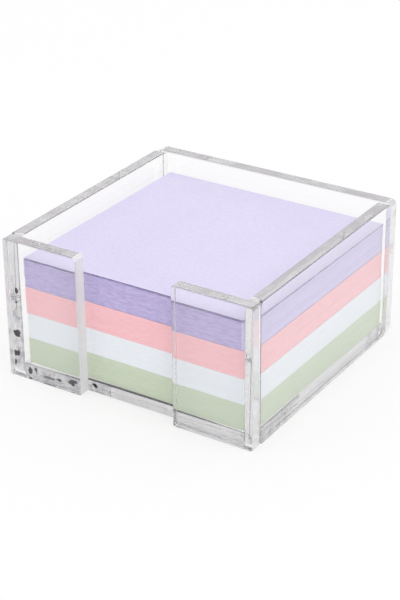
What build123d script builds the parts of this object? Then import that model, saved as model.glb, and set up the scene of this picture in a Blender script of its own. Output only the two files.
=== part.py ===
from build123d import *
import os

# Clear desk holder for square note pads, with four pads stacked in it.
#
# Six plates of clear acrylic sheet are butted and cemented into an open box. The edges and corners of each plate
# are flame polished before it is cemented, so they are a little round and every joint shows as a fine groove. The
# front is two wings with a finger notch between them, from the underside to the rim. The pads lie loose in the
# pocket.
#
# Millimetres, +Z up, the notch faces -Y, origin at the middle of the underside.

# The notes and the pocket that they drop into
note_side = 76.0  # a standard square note
pocket_gap = 1.0  # room left on each side of the notes

# The tray
sheet = 4.0  # thickness of the acrylic sheet
rim_height = 45.5  # underside to rim
wing_width = 26.7  # each front wing, from the tray's side to the notch
wall_corner_round = 1.6  # corners of the sides and the back, in the plane of the plate
wing_corner_round = 0.8  # the same on the wings, which took less heat
edge_round = 0.3  # rounding along the edges of every plate

# The pads: thickness of each, how far each has slid to the right of the pocket's middle, and how far the whole
# stack has turned in its pocket
green_thickness = 8.5
white_thickness = 8.2
pink_thickness = 8.8
lavender_thickness = 9.1
top_note_thickness = 0.1
lower_slide = 0.6
upper_slide = 0.3
stack_turn = 0.4  # degrees, clockwise seen from above

pocket_side = note_side + 2 * pocket_gap
outer_side = pocket_side + 2 * sheet

os.makedirs("parts", exist_ok=True)


def save(piece, name):
    piece.part.label = name
    export_step(piece.part, f"parts/{name}.step")


def broad_outlines(piece):
    return piece.faces().sort_by(SortBy.AREA)[-2:].edges()


# The floor fills the pocket between the four sides. Its front edge shows in the notch, level with the back of
# the wings.
with BuildPart() as base_plate:
    with BuildSketch():
        Rectangle(pocket_side, pocket_side)
    extrude(amount=sheet)
    fillet(base_plate.edges(), edge_round)
save(base_plate, "base_plate")

# The back runs the full width and covers the ends of the side walls.
with BuildPart() as back_wall:
    with BuildSketch(Plane.XZ.offset(-pocket_side / 2)):
        with Locations((0, rim_height / 2)):
            RectangleRounded(outer_side, rim_height, wall_corner_round)
    extrude(amount=-sheet)
    fillet(broad_outlines(back_wall), edge_round)
save(back_wall, "back_wall")

# The side walls stand between the wings and the back.
for side, wall_name in ((-1, "left_wall"), (1, "right_wall")):
    with BuildPart() as side_wall:
        with BuildSketch(Plane.YZ.offset(side * pocket_side / 2)):
            with Locations((0, rim_height / 2)):
                RectangleRounded(pocket_side, rim_height, wall_corner_round)
        extrude(amount=side * sheet)
        fillet(broad_outlines(side_wall), edge_round)
    save(side_wall, wall_name)

# Each wing covers the front end of its side wall and is cemented to the front edge of the floor as well.
for side, wing_name in ((-1, "front_left_wing"), (1, "front_right_wing")):
    with BuildPart() as wing:
        with BuildSketch(Plane.XZ.offset(pocket_side / 2)):
            with Locations((side * (outer_side - wing_width) / 2, rim_height / 2)):
                RectangleRounded(wing_width, rim_height, wing_corner_round)
        extrude(amount=sheet)
        fillet(broad_outlines(wing), edge_round)
    save(wing, wing_name)

# The pads stand on the floor one on another, each a block of guillotined sheets with square corners. The note
# that is peeled off next is the last piece of the stack.
stack = (
    ("green_pad", green_thickness, lower_slide),
    ("white_pad", white_thickness, lower_slide),
    ("pink_pad", pink_thickness, upper_slide),
    ("lavender_pad", lavender_thickness, upper_slide),
    ("top_note", top_note_thickness, upper_slide),
)
seat = sheet
for pad_name, thickness, slide in stack:
    with BuildPart() as pad:
        with BuildSketch(Plane.XY.offset(seat)):
            with Locations((slide, 0)):
                Rectangle(note_side, note_side, rotation=-stack_turn)
        extrude(amount=thickness)
    save(pad, pad_name)
    seat += thickness
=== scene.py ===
import math
import random

import bmesh
import bpy
from mathutils import Matrix, Vector, noise


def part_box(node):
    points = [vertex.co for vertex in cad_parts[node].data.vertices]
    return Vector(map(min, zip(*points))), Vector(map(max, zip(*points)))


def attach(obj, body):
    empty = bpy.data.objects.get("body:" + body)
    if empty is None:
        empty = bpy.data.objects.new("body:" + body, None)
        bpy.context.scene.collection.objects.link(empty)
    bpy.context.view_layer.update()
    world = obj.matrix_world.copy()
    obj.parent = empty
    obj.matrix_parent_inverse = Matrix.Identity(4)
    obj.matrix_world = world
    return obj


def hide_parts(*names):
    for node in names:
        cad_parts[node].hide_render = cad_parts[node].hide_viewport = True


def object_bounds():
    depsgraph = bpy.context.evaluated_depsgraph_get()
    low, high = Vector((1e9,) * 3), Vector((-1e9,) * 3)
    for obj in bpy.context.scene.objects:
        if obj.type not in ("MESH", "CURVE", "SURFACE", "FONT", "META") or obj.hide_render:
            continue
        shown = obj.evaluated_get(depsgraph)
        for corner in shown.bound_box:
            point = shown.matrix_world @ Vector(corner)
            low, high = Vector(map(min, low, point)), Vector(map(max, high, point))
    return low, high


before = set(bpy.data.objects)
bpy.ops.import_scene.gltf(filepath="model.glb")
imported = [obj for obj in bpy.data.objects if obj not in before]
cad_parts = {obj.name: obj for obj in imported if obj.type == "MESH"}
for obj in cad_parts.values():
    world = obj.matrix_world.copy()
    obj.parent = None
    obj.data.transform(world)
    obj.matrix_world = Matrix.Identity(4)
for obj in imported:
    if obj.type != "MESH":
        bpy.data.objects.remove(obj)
cad_low, cad_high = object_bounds()


# ---- Clear plates -------------------------------------------------------------------------------------------
# The tray is six plates of clear cast acrylic, 4 mm thick. Each is sawn, its edges and corners are flame
# polished to a soft rounding, and the plates are then cemented edge to face, so a hairline shows along every
# joint.

HAIRLINE = 0.00001  # half the joint line, left free around each plate
EDGE_ROUND = 0.0003
WALL_CORNER_ROUND = 0.0016  # the corners of the sides and the back, seen square on
WING_CORNER_ROUND = 0.0008


class Value:
    """A shader socket that takes part in Python expressions."""

    def __init__(self, tree, socket):
        self.tree = tree
        self.socket = socket

    def maths(self, operation, *values, clamp=False):
        sockets = {f"_{i}": v for i, v in enumerate(values)}
        return add_node(self.tree, "ShaderNodeMath", {"operation": operation, "use_clamp": clamp}, **sockets)

    def __add__(self, other):
        return self.maths("ADD", self, other)

    def __radd__(self, other):
        return self.maths("ADD", other, self)

    def __sub__(self, other):
        return self.maths("SUBTRACT", self, other)

    def __rsub__(self, other):
        return self.maths("SUBTRACT", other, self)

    def __mul__(self, other):
        return self.maths("MULTIPLY", self, other)

    def __rmul__(self, other):
        return self.maths("MULTIPLY", other, self)

    def __lt__(self, other):
        return self.maths("LESS_THAN", self, other)

    def __gt__(self, other):
        return self.maths("GREATER_THAN", self, other)

    def or_more(self, other):
        return self.maths("MAXIMUM", self, other)

    def clamped(self):
        return self.maths("ADD", self, 0.0, clamp=True)


def add_node(tree, kind, settings=None, out=0, **sockets):
    """Adds a node, sets its properties, then fills its sockets: a name's underscores are spaces, and _2 is the
    third socket. Returns the chosen output as a Value, or nothing where out is None."""
    node = tree.nodes.new(kind)
    for name, value in (settings or {}).items():
        setattr(node, name, value)
    for name, value in sockets.items():
        key = int(name[1:]) if name[0] == "_" else name.replace("_", " ")
        if isinstance(value, Value):
            tree.links.new(value.socket, node.inputs[key])
        else:
            node.inputs[key].default_value = value
    return None if out is None else Value(tree, node.outputs[out])


def new_material(name):
    material = bpy.data.materials.new(name)
    material.use_nodes = True
    material.node_tree.nodes.clear()
    return material, material.node_tree


def rgb(red, green, blue):
    """An sRGB colour, 0 to 255 a channel, as Blender's linear colour."""
    shares = (red / 255, green / 255, blue / 255)
    return (*[c / 12.92 if c < 0.04045 else ((c + 0.055) / 1.055) ** 2.4 for c in shares], 1)


def noise_at(tree, place, scale, detail=2.0):
    return add_node(tree, "ShaderNodeTexNoise", Vector=place, Scale=scale, Detail=detail, Roughness=0.55)


def stretched(tree, place, scale):
    """A place scaled along x, y and z, for a pattern that is finer along some of them."""
    return add_node(tree, "ShaderNodeMapping", Vector=place, Scale=scale)


def vector_maths(tree, operation, first, second=None, out=0):
    sockets = {"_0": first} if second is None else {"_0": first, "_1": second}
    return add_node(tree, "ShaderNodeVectorMath", {"operation": operation}, out, **sockets)


SPOT_EDGE = 8.0  # how steeply a spot ends, so that the last eighth of its radius fades


def covered(tree, place, wander, spots):
    """How much of the spots covers a place. Each is (middle, radii, share): its share inside, 0 outside, and
    an outline that wanders."""
    cover = 0.0
    for middle, radii, share in spots:
        scaled = vector_maths(tree, "DIVIDE", vector_maths(tree, "SUBTRACT", place, middle), radii)
        away = vector_maths(tree, "LENGTH", scaled, out=1)
        inside = ((1.0 - away + wander) * SPOT_EDGE).clamped() * share
        cover = inside.or_more(cover)
    return cover


def mixed_shader(tree, share, first, second):
    return add_node(tree, "ShaderNodeMixShader", _0=share, _1=first, _2=second)


def matt_over(tree, surface, share, colour):
    """The surface with a matt colour over a share of it."""
    return mixed_shader(tree, share, surface, add_node(tree, "ShaderNodeBsdfDiffuse", Color=colour))


CLEAR = (1, 1, 1, 1)
ACRYLIC_BENDS = 1.49  # index of refraction
TINT, TINT_DEPTH = (0.69, 0.68, 0.70, 1), 6.5  # a trace of grey, which shows along a plate but not through it
PASSED_ON = (0.985, 0.985, 0.985, 1)  # what one face lets by of the light that falls on things behind it

PAINTED_EDGE_GREY = rgb(192, 189, 193)  # painted reflection: a matt grey on the cut edges for the darker surroundings they reflect
PAINTED_WHITE = rgb(250, 250, 252)  # painted reflection: a matt white on the plates, as at their corners, for the white surroundings seen through them
CEMENT_AND_REFLECTION_GREY = rgb(150, 148, 158)  # cement clouded in the joints, its grey partly painted reflection of darker surroundings
PAINTED_DARK_REFLECTION = rgb(26, 27, 34)  # painted dark reflection: near black, for the bubbles in the joints and the dark line along the floor's front edge

POLISH_DEPTH = 0.000003  # of the marks of polishing
MARKS, BLOTCHES = 1.5, 3.5  # how much the fine marks and the broad blotches change the painted grey
BLOTCH_SCALE, CEMENT_SCALE, WHITE_SPOT_SCALE = 170.0, 700.0, 120.0  # how fast each noise changes along a metre
LIFTED_WANDER, CEMENT_WANDER = 1.5, 2.0  # how far the outline of such a spot wanders
SPECKLE_SCALE, SPECKLE_FROM, SPECKLE_CONTRAST = 380.0, 0.38, 3.5  # the grain of the cement's grey, partly painted reflection
ALONG_X, ALONG_Y = (40.0, 500.0, 90.0), (500.0, 40.0, 90.0)  # marks of polishing that run along x or y
RIM = cad_high.z - 0.00005  # the cut faces above this height are the rims


def acrylic(name, grain=None, painted_grey=0.0, rim_painted_grey=0.0, grey_lifted=(), pale=(), cement_and_reflection=(), bubble_glints=(), dark_reflection_lines=()):
    """Clear acrylic. On a cut edge grain is how fast the marks of polishing change along x, y and z. Over the
    cut edge a matt grey is painted as reflection of darker surroundings: the next two arguments give its share
    and its share at the rim, and the spots after them give where it is lifted. The further spots are painted
    white as reflection of white surroundings, clouded cement greyed partly by painted reflection, bubbles in
    the cement painted near black as dark reflection, and straight dark lines painted as reflection."""
    material, tree = new_material(name)
    place = add_node(tree, "ShaderNodeTexCoord", out="Object")
    polish = {}
    if grain:
        marks = noise_at(tree, stretched(tree, place, grain), 1.0)
        polish["Normal"] = add_node(tree, "ShaderNodeBump", Strength=1.0, Distance=POLISH_DEPTH, Height=marks)
    surface = add_node(tree, "ShaderNodeBsdfPrincipled", Base_Color=CLEAR, Roughness=0.0, IOR=ACRYLIC_BENDS,
                       Transmission_Weight=1.0, **polish)
    # Painted reflection: a matt grey over the cut edge, in fine marks and broad blotches, stands for the darker
    # surroundings that the edge reflects; it is lifted in the given spots.
    if grain:
        height = add_node(tree, "ShaderNodeSeparateXYZ", out=2, Vector=place)
        most = (height > RIM) * (rim_painted_grey - painted_grey) + painted_grey
        blotches = noise_at(tree, place, BLOTCH_SCALE) - 0.5
        share = (1.0 + (marks - 0.5) * MARKS + blotches * BLOTCHES) * most
        if grey_lifted:
            share = share * (1.0 - covered(tree, place, blotches * LIFTED_WANDER, grey_lifted))
        surface = matt_over(tree, surface, share.clamped(), PAINTED_EDGE_GREY)
    # Painted reflection: spots of matt white for the white surroundings seen through the plate.
    if pale:
        whitened = covered(tree, place, noise_at(tree, place, WHITE_SPOT_SCALE) - 0.5, pale)
        surface = matt_over(tree, surface, whitened, PAINTED_WHITE)
    if cement_and_reflection or bubble_glints:
        wander = (noise_at(tree, place, CEMENT_SCALE) - 0.5) * CEMENT_WANDER
    # The cement is clouded, and its grey speckle is partly painted reflection of darker surroundings.
    if cement_and_reflection:
        speckle = ((noise_at(tree, place, SPECKLE_SCALE) - SPECKLE_FROM) * SPECKLE_CONTRAST).clamped()
        surface = matt_over(tree, surface, covered(tree, place, wander, cement_and_reflection) * speckle, CEMENT_AND_REFLECTION_GREY)
    # Painted dark reflection: the bubbles in the cement are painted near black.
    if bubble_glints:
        surface = matt_over(tree, surface, covered(tree, place, wander, bubble_glints), PAINTED_DARK_REFLECTION)
    # Painted dark reflection: straight dark lines.
    if dark_reflection_lines:
        surface = matt_over(tree, surface, covered(tree, place, 0.0, dark_reflection_lines), PAINTED_DARK_REFLECTION)

    # Light that falls on what is behind passes straight through, so the notes aren't left in a dark shadow.
    shadow_ray, diffuse_ray = [
        add_node(tree, "ShaderNodeLightPath", out=name) for name in ("Is Shadow Ray", "Is Diffuse Ray")]
    passing = add_node(tree, "ShaderNodeBsdfTransparent", Color=PASSED_ON)
    surface = mixed_shader(tree, shadow_ray.or_more(diffuse_ray), surface, passing)
    inside = add_node(tree, "ShaderNodeVolumeAbsorption", Color=TINT, Density=TINT_DEPTH)
    add_node(tree, "ShaderNodeOutputMaterial", out=None, Surface=surface, Volume=inside)
    return material


acrylic_face = acrylic("acrylic_face")


def finish_piece(mesh, name, materials, body, node):
    data = bpy.data.meshes.new(name)
    mesh.to_mesh(data)
    mesh.free()
    piece = bpy.data.objects.new(name, data)
    bpy.context.scene.collection.objects.link(piece)
    for material in materials:
        data.materials.append(material)
    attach(piece, body)
    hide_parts(node)


FLAT = 0.9999  # a face whose normal is this near to an axis is flat, and any other lies on a rounding
RIGHT_ANGLED = math.radians(60)  # edges that turn further than this are still to be rounded
CORNER_STEPS, EDGE_STEPS = 6, 4  # facets of each rounding


def plate(node, edge, corner_round=None, broad=acrylic_face):
    """A plate in the place of a CAD node: a block with rounded edges, its broad faces in the material broad and
    its cut edges in the material edge."""
    low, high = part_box(node)
    low, high = low + Vector((HAIRLINE,) * 3), high - Vector((HAIRLINE,) * 3)
    size, middle = high - low, (low + high) / 2
    thin = min(range(3), key=lambda axis: size[axis])
    mesh = bmesh.new()
    bmesh.ops.create_cube(mesh, size=1, matrix=Matrix.Translation(middle) @ Matrix.Diagonal((*size, 1)))
    edges = mesh.edges[:]
    if corner_round:
        across = [e for e in edges if abs(e.verts[0].co[thin] - e.verts[1].co[thin]) > size[thin] / 2]
        bmesh.ops.bevel(mesh, geom=across, offset=corner_round, segments=CORNER_STEPS, profile=0.5,
                        affect="EDGES", material=-1)
        mesh.normal_update()
        edges = [e for e in mesh.edges if e.calc_face_angle() > RIGHT_ANGLED]
    bmesh.ops.bevel(mesh, geom=edges, offset=EDGE_ROUND, segments=EDGE_STEPS, profile=0.5, affect="EDGES",
                    material=-1)
    mesh.normal_update()
    for face in mesh.faces:
        flat = max(abs(c) for c in face.normal) > FLAT
        face.smooth = not flat
        face.material_index = 0 if flat and abs(face.normal[thin]) > FLAT else 1
    finish_piece(mesh, node + "_clear", [broad, edge], "holder", node)


# The floor of the tray lies between the four sides; its front edge is cemented to the wings and open between
# them. Its cut edges carry a little painted grey reflection. By the left wing and along the right side the
# cement is clouded and greyed with painted reflection, its few bubbles are painted near black as dark
# reflection, its right end is painted white as reflection, and along the top of the front edge a dark line is
# painted as reflection.
floor_low, floor_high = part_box("base_plate")
front, right = floor_low.y, floor_high.x  # the joints with the wings and with the right side
ON_FACE, THROUGH = 0.001, 0.01  # the radius of a spot that stays on one face, and that goes through a plate


def bubble_glint_spots(share, *places):
    """Bubbles in the joints behind the wings, painted near black as dark reflection: x, height, half width and
    half height of each.
    """
    return [((x, front, z), (wide, ON_FACE, tall), share) for x, z, wide, tall in places]


# Bubbles behind the wings, painted near black as dark reflection.
floor_bubble_glints = bubble_glint_spots(
    0.95,
    (-0.0369, 0.0019, 0.0007, 0.0012), (-0.0347, 0.0027, 0.0006, 0.0009), (-0.0300, 0.0012, 0.0028, 0.0003),
    (-0.0262, 0.0016, 0.0010, 0.0005), (-0.0212, 0.0021, 0.0012, 0.0012), (-0.0198, 0.0026, 0.0008, 0.0006),
    (-0.0141, 0.0024, 0.0010, 0.0007))
# The cement by the left wing and along the right side: clouded, its grey partly painted reflection.
greyed_left = ((-0.029, front, 0.0), (0.018, ON_FACE, 0.02), 0.5)
greyed_front_right = ((right, -0.034, 0.0), (ON_FACE, 0.016, 0.02), 0.5)
greyed_back_right = ((right, 0.033, 0.002), (ON_FACE, 0.005, 0.004), 0.5)
# Painted reflection: white along the floor's right end.
whitened_right = ((right, 0.012, 0.0), (ON_FACE, 0.030, 0.02), 0.6)
# Painted dark reflection: a line along the top of the front edge, on its cut edge and on its broad faces.
dark_line = ((0.002, front, 0.0042), (0.040, 0.0012, 0.0004), 0.75)
floor_edge = acrylic(
    "floor_edge", ALONG_X, painted_grey=0.14, pale=[whitened_right],
    cement_and_reflection=[greyed_left, greyed_front_right, greyed_back_right], bubble_glints=floor_bubble_glints, dark_reflection_lines=[dark_line])
plate("base_plate", floor_edge, broad=acrylic("floor_face", dark_reflection_lines=[dark_line]))

# The sides stand between the front wings and the back, their cut edges carrying the painted grey reflection,
# the most at the rim. The cement on the left one's front end is clouded and greyed with painted reflection up
# to two thirds of its height, and its larger bubbles are painted near black as dark reflection. On the right
# one's rim the painted grey is lifted at its outer front and in the middle, the cement at its front foot is
# greyed with painted reflection, and the front top corner of both is painted white as reflection.
# The cut edges of the sides, the back and the wings carry this share of painted grey reflection, and more at
# their rims.
WALL_PAINTED_GREY = 0.04
whitened_fronts = [
    ((x, front + 0.0008, cad_high.z - 0.0006), (0.004, 0.0013, 0.0013), 0.6) for x in (-right, right)]
greyed_end = ((-0.041, front, 0.010), (THROUGH, ON_FACE, 0.019), 0.7)
left_bubble_glints = bubble_glint_spots(
    1.0,
    (-0.0402, 0.0279, 0.0009, 0.0010), (-0.0408, 0.0240, 0.0005, 0.0004), (-0.0412, 0.0133, 0.0013, 0.0012),
    (-0.0417, 0.0066, 0.0013, 0.0011), (-0.0424, 0.0030, 0.0005, 0.0009))
left_edge = acrylic(
    "left_wall_edge", ALONG_Y, WALL_PAINTED_GREY, rim_painted_grey=0.5, pale=whitened_fronts, cement_and_reflection=[greyed_end], bubble_glints=left_bubble_glints)
plate("left_wall", left_edge, WALL_CORNER_ROUND)

# Spots where the painted grey on the right side's rim is lifted.
grey_lifted_outside = ((0.0432, -0.018, RIM), (0.0022, 0.024, THROUGH), 0.85)
grey_lifted_middle = ((right, 0.008, RIM), (THROUGH, 0.008, THROUGH), 0.3)
# The cement at the right side's front foot, clouded and greyed partly by painted reflection.
greyed_foot = ((right, front, 0.0), (THROUGH, ON_FACE, 0.006), 0.6)
right_edge = acrylic(
    "right_wall_edge", ALONG_Y, WALL_PAINTED_GREY, rim_painted_grey=0.75, grey_lifted=[grey_lifted_outside, grey_lifted_middle], pale=whitened_fronts,
    cement_and_reflection=[greyed_foot])
plate("right_wall", right_edge, WALL_CORNER_ROUND)

# The back covers the ends of the sides. Its cut edges carry the painted grey reflection, the most at the rim,
# and its top corners and its right end are painted white as reflection of the white surroundings.
whitened_back = [((x, -front, cad_high.z), (0.0018, THROUGH, 0.0018), 0.55) for x in (cad_low.x, cad_high.x)]
whitened_back.append(((cad_high.x, -front, 0.020), (0.0008, THROUGH, 0.026), 0.45))
back_edge = acrylic("back_wall_edge", ALONG_X, WALL_PAINTED_GREY, rim_painted_grey=0.65, pale=whitened_back)
plate("back_wall", back_edge, WALL_CORNER_ROUND)

# The wings close the front on both sides of the finger notch. Their cut edges carry the painted grey
# reflection, and their ends are painted white as reflection of the white surroundings, the most at the left
# one's top corner by the notch. The left one's far end is out of sight, and is painted white only so that it
# doesn't mirror the greyed joint beside it.
notch_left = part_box("front_left_wing")[1].x
whitened_left_wing = [
    ((cad_low.x, front, 0.022), (0.0008, THROUGH, 0.03), 0.6),
    ((notch_left, front, 0.020), (0.0008, THROUGH, 0.04), 0.4),
    ((notch_left, front, cad_high.z), (0.0014, THROUGH, 0.0014), 0.7)]
whitened_right_wing = [((cad_high.x, front, 0.022), (0.0008, THROUGH, 0.03), 0.4)]
for wing, whitened_ends in (("left_wing", whitened_left_wing), ("right_wing", whitened_right_wing)):
    wing_edge = acrylic(wing + "_edge", ALONG_X, WALL_PAINTED_GREY, rim_painted_grey=0.45, pale=whitened_ends)
    plate("front_" + wing, wing_edge, WING_CORNER_ROUND)


# ---- Pads of notes ------------------------------------------------------------------------------------------
# Each pad is a block of thin sheets of uncoated paper, cut square on a guillotine and laid loose in the tray.
# The sheets are never quite flush, so the sides show fine lines. The edges of the lowest sheets of most pads
# are painted darker as shade where a pad rests on the one below. The uppermost sheets' edges carry a painted
# line of light on the pink pad and of shadow on the lavender, and the lavender's right sides are painted
# lighter as the light that falls on them.

NOTE_SIDE = 0.076
SHEET_PITCH = 0.0001  # one note is a tenth of a millimetre thick
STACK_TURN = Matrix.Rotation(math.radians(-0.4), 4, "Z")  # the stack has turned a little in its pocket

# The flat of a sheet: how fast its fibres and its patches change along a metre, how much each of them adds to
# the share of the deep colour, what is added to that everywhere, and how deep the fibres are
FACE_FIBRES, FACE_PATCHES = 900.0, 45.0
FACE_FIBRES_SHOW, FACE_PATCHES_SHOW, FACE_DEEP = 0.4, 0.2, -0.15
FACE_DEPTH = 0.00001

# The same for the cut edges
TORN_FIBRES = (420.0, 420.0, 1700.0)  # short fibres that the blade has torn
SHEET_LINES = (90.0, 90.0, 4800.0)  # long lines that change from sheet to sheet
TORN_FIBRES_SHOW, SHEET_LINES_SHOW, EDGE_DEEP = 2.2, 1.6, 0.45
EDGE_DEPTH = 0.0001

RIGHT_SIDE = NOTE_SIDE / 2 - 0.0005  # only the right sides of the pads lie further to the right


def mixed_colour(tree, share, first, second):
    return add_node(tree, "ShaderNodeMix", {"data_type": "RGBA"}, out=2, _0=share, _6=first, _7=second)


def paper(name, face_colour, edge_colour, deep_colour, bottom_shade_colour, painted_top_colour, rough=1.0, painted_right_light=0.0):
    """Four materials of one stock: the flat of the sheets, their cut edges, and the edges of the lowest and
    the uppermost sheets. These last two are painted: shade for the lowest, where the pad rests on the one
    below, and for the uppermost a line of light or of shadow, as the stock is given. rough is how much the cut
    edges show their fibres, and the last argument how much lighter the cut edges are painted on the right, as
    painted light where the lamp falls on them."""
    made = []
    parts = ("face", face_colour), ("edge", edge_colour), ("shaded_bottom", bottom_shade_colour), ("painted_top", painted_top_colour)
    for part, colour in parts:
        material, tree = new_material(f"{name}_{part}")
        place = add_node(tree, "ShaderNodeTexCoord", out="Object")
        if part == "face":
            fibres = noise_at(tree, place, FACE_FIBRES, detail=4.0)
            patches = noise_at(tree, place, FACE_PATCHES)
            share = fibres * FACE_FIBRES_SHOW + patches * FACE_PATCHES_SHOW + FACE_DEEP
            depth = FACE_DEPTH
        else:
            fibres = noise_at(tree, stretched(tree, place, TORN_FIBRES), 1.0, detail=3.0)
            lines = noise_at(tree, stretched(tree, place, SHEET_LINES), 1.0)
            uneven = (lines - 0.5) * (SHEET_LINES_SHOW * rough) + (fibres - 0.5) * (TORN_FIBRES_SHOW * rough)
            share = (uneven + EDGE_DEEP).clamped()
            depth = EDGE_DEPTH * rough
        tone = mixed_colour(tree, share, colour, deep_colour)
        # Painted light: the edges of the right sides are painted lighter, toward the face colour, where the
        # lamp's light falls on them.
        if painted_right_light and part == "edge":
            lit_right = (add_node(tree, "ShaderNodeSeparateXYZ", Vector=place) > RIGHT_SIDE) * painted_right_light
            tone = mixed_colour(tree, lit_right, tone, face_colour)
        bump = add_node(tree, "ShaderNodeBump", Strength=0.5, Distance=depth, Height=fibres)
        shader = add_node(tree, "ShaderNodeBsdfPrincipled", Base_Color=tone, Roughness=0.85,
                          Specular_IOR_Level=0.25, Normal=bump)
        add_node(tree, "ShaderNodeOutputMaterial", out=None, Surface=shader)
        made.append(material)
    return made


FACE, EDGE, BOTTOM_SHADE, PAINTED_TOP = range(4)  # where paper() puts each material
SIDE_CUTS = 9  # how finely a sheet's rim is cut so that it can wander
DRIFT_KEPT, DRIFT_STEP, PLAY = 0.9, 0.35, 0.4  # a pad wanders as it rises, and each sheet lies a little off it
RIM_WANDER, WAVES_ALONG, WAVES_UP = 1.5, 40, 250  # the rim's waves: their size, and how many there are a metre
OTHER_WAVES = 9  # the front and back wave apart from the sides


def pad(node, materials, looseness, shaded_bottom, painted_top, seed):
    """A block of loose sheets in the place of a CAD node: each is cut along its sides so that its rim can
    wander, slides a little on the one below, and is laid on the pad. The last two counts are how many of its
    lowest sheets carry the painted shade on their edges, and how many of its uppermost the painted top line."""
    low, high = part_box(node)
    count = round((high.z - low.z) / SHEET_PITCH)
    pitch = (high.z - low.z) / count
    draw = random.Random(seed)
    drift = Vector((0, 0, 0))
    mesh = bmesh.new()
    laid = bpy.data.meshes.new("laid_sheet")
    for k in range(count):
        z = low.z + k * pitch
        step = Vector((draw.gauss(0, 1), draw.gauss(0, 1), 0)) * looseness * DRIFT_STEP
        drift = DRIFT_KEPT * drift + step
        play = drift + Vector((draw.gauss(0, 1), draw.gauss(0, 1), 0)) * looseness * PLAY
        sheet = bmesh.new()
        middle = Vector(((low.x + high.x) / 2, (low.y + high.y) / 2, z))
        bmesh.ops.create_grid(sheet, x_segments=1, y_segments=1, size=NOTE_SIDE / 2,
                              matrix=Matrix.Translation(middle) @ STACK_TURN)
        bmesh.ops.subdivide_edges(sheet, edges=sheet.edges[:], cuts=SIDE_CUTS)
        for v in sheet.verts:
            along_x = noise.noise(Vector((v.co.x * WAVES_ALONG, z * WAVES_UP, seed + OTHER_WAVES)))
            along_y = noise.noise(Vector((v.co.y * WAVES_ALONG, z * WAVES_UP, seed)))
            v.co += play + Vector((along_y, along_x, 0)) * looseness * RIM_WANDER
        lifted = bmesh.ops.extrude_face_region(sheet, geom=sheet.faces[:])
        upper = [v for v in lifted["geom"] if isinstance(v, bmesh.types.BMVert)]
        bmesh.ops.translate(sheet, vec=(0, 0, pitch), verts=upper)
        for face in sheet.faces:
            # The edges of the lowest sheets are painted shade, and those of the uppermost the painted top line.
            face.material_index = BOTTOM_SHADE if k < shaded_bottom else PAINTED_TOP if k >= count - painted_top else EDGE
        sheet.to_mesh(laid)
        sheet.free()
        mesh.from_mesh(laid)
    bpy.data.meshes.remove(laid)
    bmesh.ops.recalc_face_normals(mesh, faces=mesh.faces[:])
    for face in mesh.faces:
        if abs(face.normal.z) > 0.5:
            face.material_index = FACE
    finish_piece(mesh, node + "_sheets", materials, node, node)


green = paper(
    "green_paper", face_colour=rgb(216, 226, 206), edge_colour=rgb(214, 224, 203),
    deep_colour=rgb(198, 210, 188), bottom_shade_colour=rgb(176, 188, 166), painted_top_colour=rgb(198, 210, 188),
    rough=0.5)
pad("green_pad", green, looseness=0.00004, shaded_bottom=0, painted_top=0, seed=3)

# Its lowest sheet's edge is painted shade where it rests on the green pad.
white = paper(
    "white_paper", face_colour=rgb(243, 246, 249), edge_colour=rgb(243, 246, 249),
    deep_colour=rgb(229, 234, 241), bottom_shade_colour=rgb(222, 226, 236), painted_top_colour=rgb(229, 234, 241),
    rough=0.4)
pad("white_pad", white, looseness=0.00004, shaded_bottom=1, painted_top=0, seed=5)

# Its lowest sheet's edge is painted shade where it rests on the white pad, and its top two sheets' edges a
# painted highlight.
pink = paper(
    "pink_paper", face_colour=rgb(250, 208, 214), edge_colour=rgb(252, 208, 213),
    deep_colour=rgb(244, 188, 194), bottom_shade_colour=rgb(226, 178, 186), painted_top_colour=rgb(255, 232, 234),
    rough=0.6)
pad("pink_pad", pink, looseness=0.00004, shaded_bottom=1, painted_top=2, seed=8)

# Its two lowest sheets' edges are painted dark shade where it rests on the pink pad, its top two a dark painted
# shadow line under the top note, and its right sides are painted lighter as painted light.
lavender = paper(
    "lavender_paper", face_colour=rgb(229, 223, 248), edge_colour=rgb(203, 192, 229),
    deep_colour=rgb(180, 168, 212), bottom_shade_colour=rgb(112, 78, 114), painted_top_colour=rgb(56, 46, 84), rough=1.3,
    painted_right_light=0.6)
pad("lavender_pad", lavender, looseness=0.00005, shaded_bottom=2, painted_top=2, seed=12)

# The top note is one more sheet, loose on the lavender pad. Its front edge curls a hair off the sheet below,
# and its cut edges take the lavender's dark painted shadow line, the shade of the slit under the curl.
FRONT_CURL = 0.0003
CURL_WAVES, CURL_UNEVEN = 30, 0.5  # along the front edge the curl comes and goes
CURL_POWER = 3  # most of the curl is in the front third of the sheet
low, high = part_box("top_note")
mesh = bmesh.new()
middle = (low + high) / 2
bmesh.ops.create_grid(mesh, x_segments=24, y_segments=24, size=NOTE_SIDE / 2,
                      matrix=Matrix.Translation((middle.x, middle.y, low.z)) @ STACK_TURN)
for v in mesh.verts:
    toward_front = (high.y - v.co.y) / (high.y - low.y)
    curl = FRONT_CURL * toward_front ** CURL_POWER
    v.co.z += curl * (1 + CURL_UNEVEN * noise.noise(v.co * CURL_WAVES))
bmesh.ops.solidify(mesh, geom=mesh.faces[:], thickness=-(high.z - low.z))
bmesh.ops.recalc_face_normals(mesh, faces=mesh.faces[:])
for face in mesh.faces:
    # Painted shadow: the cut edges take the lavender's dark top-line colour, for the shade in the slit under
    # the curl.
    face.material_index = FACE if abs(face.normal.z) > 0.5 else PAINTED_TOP
finish_piece(mesh, "top_note_sheet", lavender, "top_note", "top_note")


# ---- Floor and light ----------------------------------------------------------------------------------------
# A plain pale table top under soft even studio light from all round, with one large lamp up on the right.

FLOOR_WHITE = 0.7  # how far the table top is lifted to white, with the rest left for the object's shadow
FLOOR_HALF = 4.0


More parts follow.
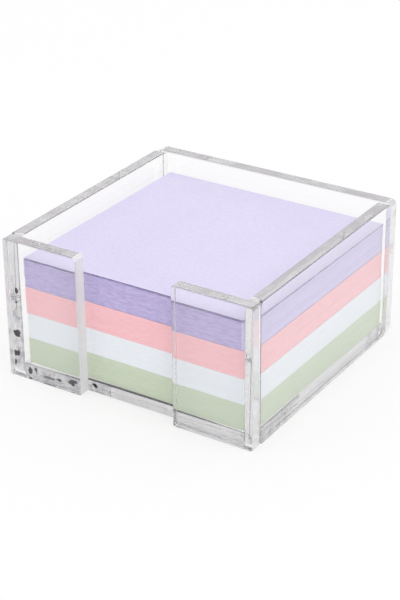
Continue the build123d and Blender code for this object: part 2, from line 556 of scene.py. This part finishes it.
def seen_share(tree):
    """1 for what the camera sees directly, mirrored or through acrylic, and 0 for what lights the object."""
    direct, mirrored, through = [
        add_node(tree, "ShaderNodeLightPath", out=name)
        for name in ("Is Camera Ray", "Is Glossy Ray", "Is Transmission Ray")]
    return direct.or_more(mirrored.or_more(through))


floor_material, tree = new_material("table_top")
matt = add_node(tree, "ShaderNodeBsdfDiffuse", Color=rgb(250, 250, 250))
glow = add_node(tree, "ShaderNodeEmission", Color=(1, 1, 1, 1), Strength=1.0)
lifted = mixed_shader(tree, seen_share(tree) * FLOOR_WHITE, matt, glow)
add_node(tree, "ShaderNodeOutputMaterial", out=None, Surface=lifted)
mesh = bmesh.new()
bmesh.ops.create_grid(mesh, x_segments=1, y_segments=1, size=FLOOR_HALF)
data = bpy.data.meshes.new("table_top")
mesh.to_mesh(data)
mesh.free()
floor = bpy.data.objects.new("table_top", data)
bpy.context.scene.collection.objects.link(floor)
data.materials.append(floor_material)

STUDIO_LIGHT = 0.97
world = bpy.data.worlds.new("studio")
bpy.context.scene.world = world
world.use_nodes = True
tree = world.node_tree
tree.nodes.clear()
lighting = add_node(tree, "ShaderNodeBackground", Color=(1, 1, 1, 1), Strength=STUDIO_LIGHT)
backdrop = add_node(tree, "ShaderNodeBackground", Color=(1, 1, 1, 1), Strength=1.0)
around = mixed_shader(tree, seen_share(tree), lighting, backdrop)
add_node(tree, "ShaderNodeOutputWorld", out=None, Surface=around)

LAMP_SIDE, LAMP_POWER, LAMP_PLACE = 1.2, 1.9, Vector((0.65, -0.25, 0.9))
lamp_data = bpy.data.lights.new("overhead_softbox", "AREA")
lamp_data.shape = "RECTANGLE"
lamp_data.size = LAMP_SIDE
lamp_data.size_y = LAMP_SIDE
lamp_data.energy = LAMP_POWER
lamp = bpy.data.objects.new("overhead_softbox", lamp_data)
bpy.context.scene.collection.objects.link(lamp)
lamp.location = LAMP_PLACE
lamp.rotation_mode = "QUATERNION"
lamp.rotation_quaternion = LAMP_PLACE.to_track_quat("Z", "Y")  # it shines along its own -Z, at the object


# ---- Camera -------------------------------------------------------------------------------------------------
# A long lens, from the front right and above, as the photograph was taken.

AZIMUTH, ELEVATION, ROLL = math.radians(32.73), math.radians(27.01), math.radians(-0.53)
LENS, SENSOR_WIDTH = 99.76, 36.0
CAMERA_PLACE = (0.24522, -0.38408, 0.25020)
camera_data = bpy.data.cameras.new("camera")
camera_data.lens = LENS
camera_data.sensor_width = SENSOR_WIDTH
camera = bpy.data.objects.new("camera", camera_data)
bpy.context.scene.collection.objects.link(camera)
level = math.cos(ELEVATION)
back = Vector((math.sin(AZIMUTH) * level, -math.cos(AZIMUTH) * level, math.sin(ELEVATION)))
camera.location = CAMERA_PLACE
camera.rotation_mode = "QUATERNION"
camera.rotation_quaternion = (-back).to_track_quat("-Z", "Y") @ Matrix.Rotation(ROLL, 3, "Z").to_quaternion()
bpy.context.scene.camera = camera

BOUNCES = 128  # with fewer the light is lost in the rounded corners, which turn black
bpy.context.scene.view_settings.view_transform = "Standard"
bpy.context.scene.cycles.max_bounces = BOUNCES
bpy.context.scene.cycles.glossy_bounces = BOUNCES
bpy.context.scene.cycles.transmission_bounces = BOUNCES
